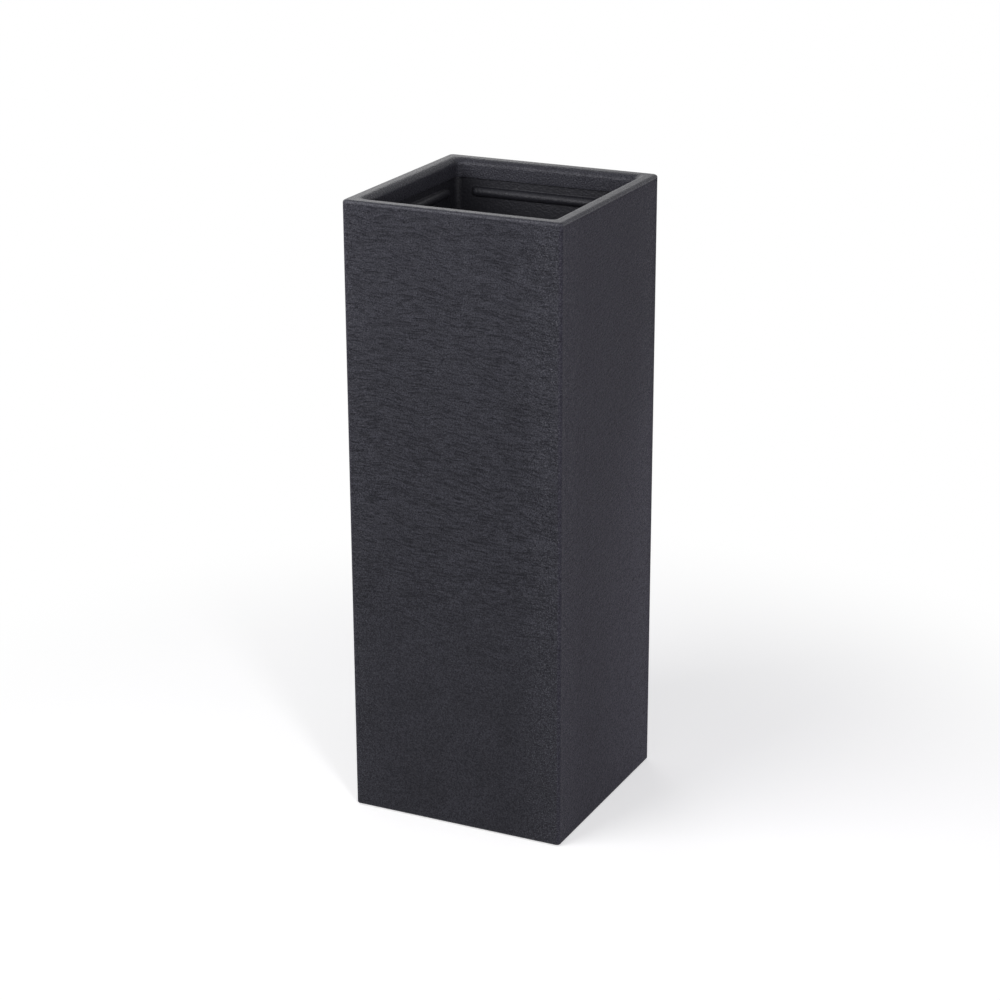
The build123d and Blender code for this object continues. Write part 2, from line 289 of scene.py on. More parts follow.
class Graph:
    """Short hand for building a node tree."""

    def __init__(self, tree: bpy.types.NodeTree) -> None:
        """Keeps the tree and empties it.

        Args:
            tree: node tree to fill.
        """
        self.tree = tree
        tree.nodes.clear()

    def node(self, kind: str, links: dict | None = None, **settings: object) -> bpy.types.Node:
        """Adds a node.

        Args:
            kind: node type.
            links: input name or number, to a socket or a plain value.
            settings: node properties.

        Returns:
            The node.
        """
        made = self.tree.nodes.new(kind)
        for name, value in settings.items():
            setattr(made, name, value)
        for key, value in (links or {}).items():
            if isinstance(value, Socket):
                self.tree.links.new(value, made.inputs[key])
            else:
                made.inputs[key].default_value = value
        return made

    def link(self, source: Socket, target: Socket) -> None:
        """Links an output to an input."""
        self.tree.links.new(source, target)

    def place(self) -> Socket:
        """Adds a Texture Coordinate and returns its Object output, in metres."""
        return self.node("ShaderNodeTexCoord").outputs["Object"]

    def vector(self, operation: str, first: object, second: object) -> Socket:
        """Adds a Vector Math node for two sockets or vectors and returns its vector."""
        links = {0: first, 1: second}
        return self.node("ShaderNodeVectorMath", links, operation=operation).outputs[0]

    def bump(self, height: Socket, distance: float, under: Socket | None = None) -> Socket:
        """Adds a Bump node, over the normal of another if one is given, and returns its normal."""
        links = {"Height": height, "Strength": 1.0, "Distance": distance}
        if under:
            links["Normal"] = under
        return self.node("ShaderNodeBump", links).outputs[0]

    def math(self, operation: str, *values: object, clamp: bool = False) -> Socket:
        """Adds a Math node and returns its output.

        Args:
            operation: name of the operation.
            values: sockets or numbers.
            clamp: whether the result is held between 0 and 1.

        Returns:
            The output socket.
        """
        links = dict(enumerate(values))
        return self.node("ShaderNodeMath", links, operation=operation, use_clamp=clamp).outputs[0]

    def noise(
        self, vector: Socket, scale: float, detail: float, rough: float = 0.5
    ) -> Socket:
        """Adds a Noise Texture and returns its height.

        Args:
            vector: coordinates.
            scale: cells per unit.
            detail: octaves.
            rough: how strong the finer octaves are.

        Returns:
            The factor socket.
        """
        links = {"Vector": vector, "Scale": scale, "Detail": detail, "Roughness": rough}
        return self.node("ShaderNodeTexNoise", links).outputs["Fac"]

    def span(
        self, value: Socket, low: float, high: float, to_low: float = 0.0, to_high: float = 1.0
    ) -> Socket:
        """Maps a value smoothly from one range to another.

        Args:
            value: the socket to map.
            low: start of the range it has.
            high: end of the range it has.
            to_low: start of the range it gets.
            to_high: end of the range it gets.

        Returns:
            The output socket.
        """
        links = {"Value": value, "From Min": low, "From Max": high, "To Min": to_low, "To Max": to_high}
        made = self.node("ShaderNodeMapRange", links, interpolation_type="SMOOTHSTEP")
        return made.outputs["Result"]

    def mix(self, factor: object, first: object, second: object) -> Socket:
        """Mixes two colours, which a colour Mix node takes at its inputs 6 and 7.

        Args:
            factor: how much of the second.
            first: first colour.
            second: second colour.

        Returns:
            The colour socket.
        """
        links = {0: factor, 6: first, 7: second}
        return self.node("ShaderNodeMix", links, data_type="RGBA").outputs[2]


def new_group(name: str, inputs: dict[str, float], outputs: tuple[str, ...]) -> tuple[Graph, dict, dict]:
    """A new shader node group with value inputs and outputs.

    Args:
        name: name of the group.
        inputs: name and default of each input.
        outputs: names of the outputs.

    Returns:
        The graph to fill, the input sockets by name, and the output node's sockets by name.
    """
    tree = bpy.data.node_groups.new(name, "ShaderNodeTree")
    for label, value in inputs.items():
        made = tree.interface.new_socket(label, in_out="INPUT", socket_type="NodeSocketFloat")
        made.default_value = value
    for label in outputs:
        tree.interface.new_socket(label, in_out="OUTPUT", socket_type="NodeSocketFloat")
    graph = Graph(tree)
    start = graph.node("NodeGroupInput")
    end = graph.node("NodeGroupOutput")
    sources = {label: start.outputs[label] for label in inputs}
    sinks = {label: end.inputs[label] for label in outputs}
    return graph, sources, sinks


class SharedEffects:
    """Node groups that several finishes use. Their scales are cells per metre."""

    pimple_scale: float = 520.0
    cell_scale: float = 430.0
    speckle_scale: float = 560.0
    mottle_scale: float = 24.0
    tilt: float = 0.06
    bend_scale: float = 11.0
    bend_reach: float = 0.03
    flattening: float = 6.5
    streak_scale: float = 60.0
    crack_scale: float = 58.0
    dust_scale: float = 60.0

    def __init__(self) -> None:
        """Builds the groups."""
        self.grain = self.build_grain()
        self.cleft = self.build_cleft()
        self.dust = self.build_dust()

    def build_grain(self) -> bpy.types.NodeTree:
        """Fine moulded grain: soft pimples, their finer speckle, and broad mottling.

        Returns:
            The group, with outputs Height, Speckle and Mottle between 0 and 1.
        """
        graph, source, sink = new_group("moulded_grain", {"Size": 1.0}, ("Height", "Speckle", "Mottle"))
        at = graph.vector("DIVIDE", graph.place(), source["Size"])
        pimples = graph.noise(at, self.pimple_scale, 2.0, 0.65)
        links = {"Vector": at, "Scale": self.cell_scale}
        cells = graph.node("ShaderNodeTexVoronoi", links, feature="SMOOTH_F1")
        bumps = graph.span(cells.outputs["Distance"], 0.1, 0.75, 1.0, 0.0)
        height = graph.math("MULTIPLY_ADD", pimples, 0.6, graph.math("MULTIPLY", bumps, 0.4))
        graph.link(height, sink["Height"])
        speckle = graph.noise(at, self.speckle_scale, 2.0, 0.8)
        graph.link(graph.span(speckle, 0.38, 0.63), sink["Speckle"])
        mottle = graph.noise(at, self.mottle_scale, 4.0, 0.6)
        graph.link(graph.span(mottle, 0.3, 0.7), sink["Mottle"])
        return graph.tree

    def build_cleft(self) -> bpy.types.NodeTree:
        """Streaks across a cleft face: noise pressed flat along Z, tilted, and bent by slower noise.

        Returns:
            The group, with outputs Streaks and Cracks between 0 and 1.
        """
        graph, _, sink = new_group("cleft_streaks", {}, ("Streaks", "Cracks"))
        links = {"Vector": graph.place(), "Rotation": (0.0, -self.tilt, 0.0)}
        place = graph.node("ShaderNodeMapping", links).outputs[0]
        links = {"Vector": place, "Scale": self.bend_scale, "Detail": 2.0}
        bend = graph.node("ShaderNodeTexNoise", links).outputs["Color"]
        push = graph.vector("SUBTRACT", bend, (0.5, 0.5, 0.5))
        push = graph.vector("MULTIPLY", push, (0.0, 0.0, self.bend_reach))
        flat = graph.vector("MULTIPLY", graph.vector("ADD", place, push), (1.0, 1.0, self.flattening))
        streaks = graph.noise(flat, self.streak_scale, 3.0, 0.62)
        graph.link(graph.span(streaks, 0.3, 0.7), sink["Streaks"])
        cracks = graph.noise(flat, self.crack_scale, 1.5, 0.6)
        graph.link(graph.span(cracks, 0.53, 0.66), sink["Cracks"])
        return graph.tree

    def build_dust(self) -> bpy.types.NodeTree:
        """Where pale dust lies: in patches, on what faces up.

        Returns:
            The group, with output Amount between 0 and 1.
        """
        graph, _, sink = new_group("settled_dust", {}, ("Amount",))
        normal = graph.node("ShaderNodeNewGeometry").outputs["Normal"]
        up = graph.node("ShaderNodeSeparateXYZ", {0: normal}).outputs["Z"]
        facing = graph.span(up, 0.4, 1.0)
        patches = graph.span(graph.noise(graph.place(), self.dust_scale, 4.0, 0.7), 0.42, 0.7)
        graph.link(graph.math("MULTIPLY", facing, patches, clamp=True), sink["Amount"])
        return graph.tree


def new_material(name: str) -> tuple[bpy.types.Material, Graph, bpy.types.Node]:
    """A material with an empty tree, a Principled BSDF and its output.

    Args:
        name: name of the material.

    Returns:
        The material, its graph, and the Principled BSDF node.
    """
    material = bpy.data.materials.new(name)
    material.use_nodes = True
    graph = Graph(material.node_tree)
    shader = graph.node("ShaderNodeBsdfPrincipled")
    out = graph.node("ShaderNodeOutputMaterial")
    graph.link(shader.outputs[0], out.inputs["Surface"])
    return material, graph, shader


# Finishes


@dataclass(frozen=True)
class SlateFinish:
    """Dark slate grey plastic, moulded with gritty grain and, where it is streaked, a cleft.

    Heights and widths below are metres on the planter, and scales are cells per metre. The
    cleft grows from the foot to the middle. Its streak and crack colours are partly its own tone
    and partly painted light and shade. The faces are painted paler towards the top as painted
    light from above, painted glints speckled like grit lie beside the upright corners, the side
    faces get a painted light tint, and painted reflection makes them paler low down towards the back.
    """

    name: str = "slate_plastic"
    base: Colour = (0.0248, 0.0248, 0.0302, 1.0)
    pale: Colour = (0.0470, 0.0472, 0.0592, 1.0)
    deep: Colour = (0.0080, 0.0080, 0.0110, 1.0)
    worn: Colour = (0.1050, 0.1060, 0.1230, 1.0)
    # Painted light: a paler, bluer tint for the two side faces, standing for how light falls on them.
    side_light_tint: Colour = (0.0275, 0.0248, 0.0385, 1.0)
    # Painted reflection: paler colour low down towards the back of the side faces.
    side_reflection_colour: Colour = (0.0470, 0.0440, 0.0620, 1.0)
    tint: Colour = (0.95, 0.95, 1.0, 1.0)
    roughness: float = 0.6
    roughness_swing: float = 0.12
    specular: float = 0.1
    mottling: float = 0.35
    speckling: float = 0.85
    grain_depth: float = 0.0005
    streaked: bool = True
    streak_depth: float = 0.0009
    # Streak and crack colours are partly the cleft's own tone, partly painted light on the raised streaks
    # and painted shade in the cracks.
    streak_share: float = 0.8
    crack_share: float = 0.6
    cleft_low: float = 0.12
    cleft_high: float = 0.40
    side_calm: float = 0.75
    # Painted light: between these heights the faces turn paler towards the top, as if lit from above.
    top_light_low: float = 0.25
    top_light_high: float = 0.80
    top_light_share: float = 0.25
    side_light_tint_share: float = 0.8
    wear: float = 1.0
    # Painted glints: pale grit-like speckles beside the upright corners, more towards +X.
    glint_scale: float = 640.0
    glint_from: float = 0.085
    glint_to: float = 0.142
    glint_lean: float = 0.1
    scuff_scale: float = 260.0
    face_plane: float = 0.142
    face_blend: float = 0.002

    def material(self, effects: SharedEffects) -> bpy.types.Material:
        """Builds the material.

        Args:
            effects: the shared node groups.

        Returns:
            The material.
        """
        material, graph, shader = new_material(self.name)
        grain = graph.node("ShaderNodeGroup", node_tree=effects.grain).outputs
        pointiness = graph.node("ShaderNodeNewGeometry").outputs["Pointiness"]
        place = graph.place()
        x, y, z = graph.node("ShaderNodeSeparateXYZ", {0: place}).outputs
        wide, far = graph.math("ABSOLUTE", x), graph.math("ABSOLUTE", y)
        tone = graph.mix(graph.math("MULTIPLY", grain["Mottle"], self.mottling), self.base, self.pale)
        under = None
        if self.streaked:
            cleft = graph.node("ShaderNodeGroup", node_tree=effects.cleft).outputs
            side = graph.span(wide, self.face_plane - self.face_blend, self.face_plane)
            plain = graph.math("MULTIPLY_ADD", side, -self.side_calm, 1.0)
            streaky = graph.span(z, self.cleft_low, self.cleft_high, 0.15, 1.0)
            streaky = graph.math("MULTIPLY", streaky, plain)
            # Partly the cleft's own tone, partly painted light and shade: pale where the bump below is
            # raised, darker in its crack hollows.
            lit = graph.math("MULTIPLY", cleft["Streaks"], streaky)
            tone = graph.mix(graph.math("MULTIPLY", lit, self.streak_share), tone, self.pale)
            dark = graph.math("MULTIPLY", cleft["Cracks"], streaky)
            tone = graph.mix(graph.math("MULTIPLY", dark, self.crack_share), tone, self.deep)
            # Painted light from above: the colour turns paler towards the top.
            high = graph.span(z, self.top_light_low, self.top_light_high, 0.0, self.top_light_share)
            tone = graph.mix(high, tone, self.pale)
            # Painted light: the two side faces are tinted paler and bluer than the front and back.
            tone = graph.mix(graph.math("MULTIPLY", side, self.side_light_tint_share), tone, self.side_light_tint)
            # Painted reflection: the side faces turn paler low down towards the back, as if a lamp behind
            # showed in their gloss.
            reflection_zone = graph.math("MULTIPLY", side, graph.span(y, -0.05, 0.11))
            low = graph.span(graph.math("MULTIPLY_ADD", y, -1.0, z), 0.28, 0.55, 1.0, 0.0)
            tone = graph.mix(graph.math("MULTIPLY", reflection_zone, low), tone, self.side_reflection_colour)
            under = graph.bump(graph.math("SUBTRACT", lit, dark), self.streak_depth)
        tone = graph.mix(graph.math("MULTIPLY", grain["Speckle"], self.speckling), tone, self.deep)
        # Painted glints: pale speckles beside the upright corners, stronger towards +X.
        across = graph.math("MULTIPLY_ADD", x, self.glint_lean, graph.math("MINIMUM", wide, far))
        beside = graph.span(across, self.glint_from, self.glint_to, 0.25, 0.85)
        glints = graph.span(graph.noise(place, self.glint_scale, 2.0, 0.8), 0.50, 0.74, 0.0, self.wear)
        tone = graph.mix(graph.math("MULTIPLY", glints, beside), tone, self.worn)
        edge = graph.span(pointiness, 0.5, 0.56, 0.0, self.wear)
        scuffs = graph.span(graph.noise(place, self.scuff_scale, 3.0, 0.7), 0.4, 0.65, 0.1, 0.8)
        tone = graph.mix(graph.math("MULTIPLY", edge, scuffs, clamp=True), tone, self.worn)
        graph.link(tone, shader.inputs["Base Color"])
        smoothest = self.roughness - self.roughness_swing / 2
        rough = graph.math("MULTIPLY_ADD", grain["Speckle"], self.roughness_swing, smoothest)
        graph.link(rough, shader.inputs["Roughness"])
        shader.inputs["Specular IOR Level"].default_value = self.specular
        shader.inputs["Specular Tint"].default_value = self.tint
        graph.link(graph.bump(grain["Height"], self.grain_depth, under), shader.inputs["Normal"])
        return material


@dataclass(frozen=True)
class MouldedFinish:
    """Plain moulded plastic or rubber, with grain, mottling, scuffed edges and a little dust."""

    name: str
    base: Colour
    pale: Colour
    roughness: float
    roughness_swing: float = 0.14
    worn: Colour = grey(0.05)
    specular: float = 0.4
    metallic: float = 0.0
    grain_depth: float = 0.00012
    grain_size: float = 1.0
    scuff_scale: float = 400.0
    dust: float = 0.2
    dust_colour: Colour = (0.16, 0.15, 0.135, 1.0)
    dust_roughness: float = 0.25

    def material(self, effects: SharedEffects) -> bpy.types.Material:
        """Builds the material.

        Args:
            effects: the shared node groups.

        Returns:
            The material.
        """
        material, graph, shader = new_material(self.name)
        size = {"Size": self.grain_size}
        grain = graph.node("ShaderNodeGroup", size, node_tree=effects.grain).outputs
        settled = graph.node("ShaderNodeGroup", node_tree=effects.dust).outputs["Amount"]
        pointiness = graph.node("ShaderNodeNewGeometry").outputs["Pointiness"]
        tone = graph.mix(grain["Mottle"], self.base, self.pale)
        edge = graph.span(pointiness, 0.51, 0.58)
        scuffs = graph.span(graph.noise(graph.place(), self.scuff_scale, 3.0, 0.7), 0.4, 0.65, 0.1, 0.9)
        tone = graph.mix(graph.math("MULTIPLY", edge, scuffs, clamp=True), tone, self.worn)
        dusty = graph.math("MULTIPLY", settled, self.dust)
        graph.link(graph.mix(dusty, tone, self.dust_colour), shader.inputs["Base Color"])
        smoothest = self.roughness - self.roughness_swing / 2
        rough = graph.math("MULTIPLY_ADD", grain["Mottle"], self.roughness_swing, smoothest)
        rough = graph.math("MULTIPLY_ADD", dusty, self.dust_roughness, rough)
        graph.link(rough, shader.inputs["Roughness"])
        shader.inputs["Specular IOR Level"].default_value = self.specular
        shader.inputs["Metallic"].default_value = self.metallic
        graph.link(graph.bump(grain["Height"], self.grain_depth), shader.inputs["Normal"])
        return material


# The outer shell


@dataclass(frozen=True)
class Cleft:
    """Sizes of the relief on the faces.

    A cell is the lattice step of one noise field, along the face and up it, and shares are parts
    of the full depth. A lift and a gain turn a field into a mask. The rest are millimetres.
    """

    depth: float = 0.9
    side_share: float = 0.3
    low_share: float = 0.15
    level_share: float = 0.4
    dash_share: float = 0.38
    swell_share: float = 0.16
    crack_share: float = 0.4
    grain_share: float = 0.1
    slope: float = 0.06
    sway: float = 6.0
    sway_cell: Pair = (95.0, 80.0)
    ripple: float = 1.6
    ripple_cell: Pair = (26.0, 26.0)
    dash_cell: Pair = (9.5, 2.3)
    swell_cell: Pair = (24.0, 4.4)
    crack_width: float = 0.2
    gate_lift: float = 0.3
    gate_gain: float = 1.6
    gate_cell: Pair = (17.0, 8.0)
    grain_cell: Pair = (3.4, 2.3)
    patch_lift: float = 0.95
    patch_gain: float = 0.2
    patch_cell: Pair = (50.0, 34.0)
    rise_from: float = 70.0
    rise_fall: float = 60.0
    fall_run: float = 110.0
    rise: float = 320.0
    corner_gap: float = 0.5
    corner_fade: float = 7.0
    seam_fade: float = 3.0
    foot_gap: float = 4.0
    foot_fade: float = 8.0
    groove_depth: float = 0.6
    groove_drop: float = 1.6


@dataclass
class OuterShell:
    """The square outer shell: four cleft faces, and the rim rolled inwards and down."""

    top: float
    base: float
    top_half: float
    draft: float = 0.75
    upright_round: float = 4.0
    base_round: float = 1.5
    wall: float = 3.5
    rim_width: float = 20.0
    rim_drop: float = 25.0
    rim_outer_round: float = 3.5
    rim_inner_round: float = 9.0
    flange_round: float = 1.7
    mouth_round: float = 10.0
    plate_seat: float = 4.0
    inside_middle: float = 400.0
    rim_gap: float = 0.5
    seam_lap: float = 1.0
    cleft: Cleft = Cleft()
    flat_columns: int = 108
    first_gap: float = 1.2
    corner_columns: int = 7
    rows: int = 780
    pieces: list[bpy.types.Object] = field(default_factory=list)

    @property
    def base_half(self) -> float:
        """Half width at the foot."""
        return self.top_half - self.draft

    def half_at(self, z: np.ndarray | float) -> np.ndarray | float:
        """Half width of the drafted column at given heights."""
        share = (z - self.base) / (self.top - self.base)
        return self.base_half + (self.top_half - self.base_half) * share

    @property
    def mouth_half(self) -> float:
        """Half width of the opening."""
        return self.top_half - self.rim_width

    @property
    def seam(self) -> float:
        """Height where the faces end and the rim's outer round starts."""
        return self.top - self.rim_outer_round

    def relief_depth(self, across: np.ndarray, z: np.ndarray, side: Side) -> np.ndarray:
        """How far the cleft face lies below the column's outline, in millimetres.

        It is made of short dashes and longer swells of flat noise, falling a little along the
        face and swayed by slow noise, thin cracks along the swells' zero lines that a mask lets
        in and out, and grain. It varies in patches, grows upwards from a line near the foot, is
        slighter on the two side faces, and fades out at every edge. A fine groove follows the
        seam below the rim.

        Args:
            across: distance along the face from its middle.
            z: height.
            side: which face.

        Returns:
            Depths, at most the relief's depth and, at the seam, the groove's.
        """
        cleft = self.cleft
        seed = 100 * (side.value + 1)
        sway = cleft.sway * lattice_noise(across, z, cleft.sway_cell, seed) + cleft.slope * across
        level = z + sway + cleft.ripple * lattice_noise(across, z, cleft.ripple_cell, seed + 1)
        dashes = lattice_noise(across, level, cleft.dash_cell, seed + 2)
        swells = lattice_noise(across, level, cleft.swell_cell, seed + 3)
        gate = lattice_noise(across, level, cleft.gate_cell, seed + 4)
        gate = smooth(cleft.gate_lift + cleft.gate_gain * gate)
        cracks = smooth((cleft.crack_width - np.abs(swells)) / cleft.crack_width) * gate
        grain = lattice_noise(across, z, cleft.grain_cell, seed + 5)
        patches = lattice_noise(across, level, cleft.patch_cell, seed + 6)
        patches = cleft.patch_lift + cleft.patch_gain * patches
        start = cleft.rise_from - cleft.rise_fall * smooth(across / cleft.fall_run)
        grown = cleft.low_share + (1.0 - cleft.low_share) * smooth((z - start) / cleft.rise)
        strength = (1.0 if side in (Side.FRONT, Side.BACK) else cleft.side_share) * patches * grown
        texture = cleft.dash_share * dashes + cleft.swell_share * swells + cleft.crack_share * cracks
        depth = cleft.level_share + strength * texture + cleft.grain_share * grain
        half = self.half_at(z) - self.upright_round
        fade = smooth((half - np.abs(across) - cleft.corner_gap) / cleft.corner_fade)
        fade = fade * smooth((self.seam - z) / cleft.seam_fade)
        fade = fade * smooth((z - self.base - cleft.foot_gap) / cleft.foot_fade)
        groove = np.exp(-(((self.seam - cleft.groove_drop - z) / cleft.groove_drop) ** 2))
        return cleft.depth * np.clip(depth, 0.0, 1.0) * fade + cleft.groove_depth * groove

    def face(self, side: Side) -> bpy.types.Object:
        """One face with its onward corner, round the foot and up the inside to the rim.

        The outer grid is the column's outline less the relief. Its last rows go round the foot's
        small radius, across the foot and up the shell's inner face.

        Args:
            side: which face.

        Returns:
            The piece.
        """
        flat = np.linspace(-1.0, 1.0, self.flat_columns)
        lead = self.first_gap / self.flat_columns
        s = np.concatenate([[-1.0 + lead], flat[1:]])
        a = np.linspace(0.0, np.pi / 2, self.corner_columns + 2)[1:-1]
        count = len(s) + len(a) + 2
        z = np.linspace(self.seam, self.base + self.base_round, self.rows)
        foot_centre = (self.base_half - self.base_round, self.base + self.base_round)
        foot = arc(foot_centre, self.base_round, 0.0, -90.0, 6)[1:]
        inner = np.array(
            [
                [self.base_half - self.wall, self.base],
                [self.base_half - self.wall, self.base + self.plate_seat],
                [self.half_at(self.inside_middle) - self.wall, self.inside_middle],
                [self.top_half - self.wall, self.top - self.wall - self.rim_gap],
            ]
        )
        half = np.concatenate([self.half_at(z), foot[:, 0], inner[:, 0]])
        heights = np.concatenate([z, foot[:, 1], inner[:, 1]])
        corner = np.full(len(half), self.upright_round)
        straight, radius = (half - corner)[:, None], corner[:, None]
        n = np.empty((len(half), count))
        t = np.empty_like(n)
        n[:, : len(s)] = straight + radius
        t[:, : len(s)] = straight * s
        n[:, len(s) : -2] = straight + radius * np.cos(a)
        t[:, len(s) : -2] = straight + radius * np.sin(a)
        n[:, -2], t[:, -2] = straight[:, 0], (straight + radius)[:, 0]
        n[:, -1], t[:, -1] = (straight * (1.0 - lead))[:, 0], (straight + radius)[:, 0]
        across = t[: self.rows, : len(s)]
        height = np.broadcast_to(z[:, None], across.shape)
        n[: self.rows, : len(s)] -= self.relief_depth(across, height, side)
        x, y = side.turned(n, t)
        points = np.stack([x, y, np.broadcast_to(heights[:, None], x.shape)], axis=-1)
        quads = grid_faces(len(half), count, closed=False)[:, ::-1]
        return build_mesh(f"slate_{side.name.lower()}", points.reshape(-1, 3), quads)

    def rim(self) -> bpy.types.Object:
        """The rolled rim, from the faces' seam over the top and down to the flange and back.

        The section runs up the outer round, over the flat top, down the large inner round and
        the flange, round the flange's edge, and up its back to the underside of the top.

        Returns:
            The piece.
        """
        mouth, low = self.mouth_half, self.top - self.rim_drop
        outer_centre = (self.half_at(self.seam) - self.rim_outer_round, self.seam)
        inner_centre = (mouth + self.rim_inner_round, self.top - self.rim_inner_round)
        back = mouth + self.wall
        inner_wall = self.rim_inner_round - self.wall
        ceiling = self.top - self.wall
        tip = self.flange_round
        section = np.concatenate(
            [
                [[outer_centre[0] + self.rim_outer_round, self.seam - self.seam_lap]],
                arc(outer_centre, self.rim_outer_round, 0.0, 90.0, 12),
                line((outer_centre[0], self.top), (inner_centre[0], self.top), 5),
                arc(inner_centre, self.rim_inner_round, 90.0, 180.0, 18),
                line((mouth, inner_centre[1]), (mouth, low + tip), 5),
                arc((mouth + tip, low + tip), tip, 180.0, 270.0, 6),
                arc((back - tip, low + tip), tip, 270.0, 360.0, 6),
                line((back, low + tip), (back, ceiling - inner_wall), 3),
                arc((back + inner_wall, ceiling - inner_wall), inner_wall, 180.0, 90.0, 8),
                [[self.top_half - self.wall, ceiling]],
            ]
        )
        outer = np.clip((section[:, 0] - mouth) / self.rim_width, 0.0, 1.0)
        corner = self.mouth_round + (self.upright_round - self.mouth_round) * outer
        return swept_square("rolled_rim", section, corner, 0 * corner, SquareLoop(40, 11))

    def build(self, finish: bpy.types.Material, rim_finish: bpy.types.Material) -> None:
        """Makes the faces and the rim, and puts them in the shell's place.

        Args:
            finish: material of the faces.
            rim_finish: material of the rim.
        """
        for side in Side:
            piece = self.face(side)
            piece.data.materials.append(finish)
            self.pieces.append(piece)
        rim = self.rim()
        rim.data.materials.append(rim_finish)
        self.pieces.append(rim)
        for piece in self.pieces:
            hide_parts("outer_shell")
            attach(piece, BODY)
            LOG.info("%s: %d faces", piece.name, len(piece.data.polygons))


# The liner


